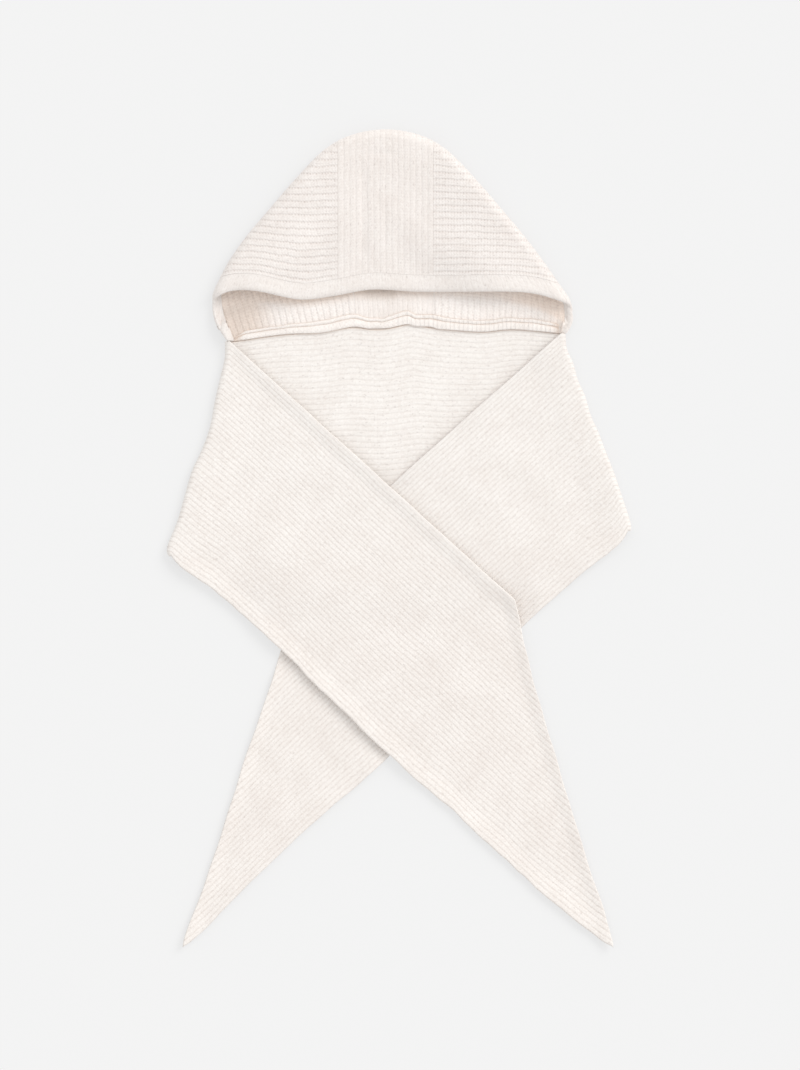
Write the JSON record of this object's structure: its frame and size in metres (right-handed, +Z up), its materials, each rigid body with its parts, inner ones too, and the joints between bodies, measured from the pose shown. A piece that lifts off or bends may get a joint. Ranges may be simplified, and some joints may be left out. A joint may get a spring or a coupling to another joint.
{
  "type": "snood hood",
  "caption": "Knitted ribbed hood with a rolled face band, sewn to a long scarf with slanted ends, laid flat with the ends crossed.",
  "frame": {"origin": "middle of the laid garment's footprint, on the surface that it lies on", "axes": "+X to the viewer's right as it is laid, +Y towards the crown, +Z up from the surface"},
  "size_m": [0.5596, 0.9792, 0.0244],
  "materials": {
    "hood_knit": "ribbed knit of oatmeal melange yarn, soft and matt",
    "band_knit": "smooth knit of the same yarn, rolled to a soft tube",
    "seam_knit": "two bound knit edges of the same yarn",
    "scarf_knit": "finely ribbed knit of the same yarn, soft and matt"
  },
  "bodies": {
    "root": {"crown_strip": "hood_knit", "side_panel_left": "hood_knit", "side_panel_right": "hood_knit", "front_band": "band_knit", "neck_seam": "seam_knit", "scarf": "scarf_knit"}
  },
  "joints": []
}
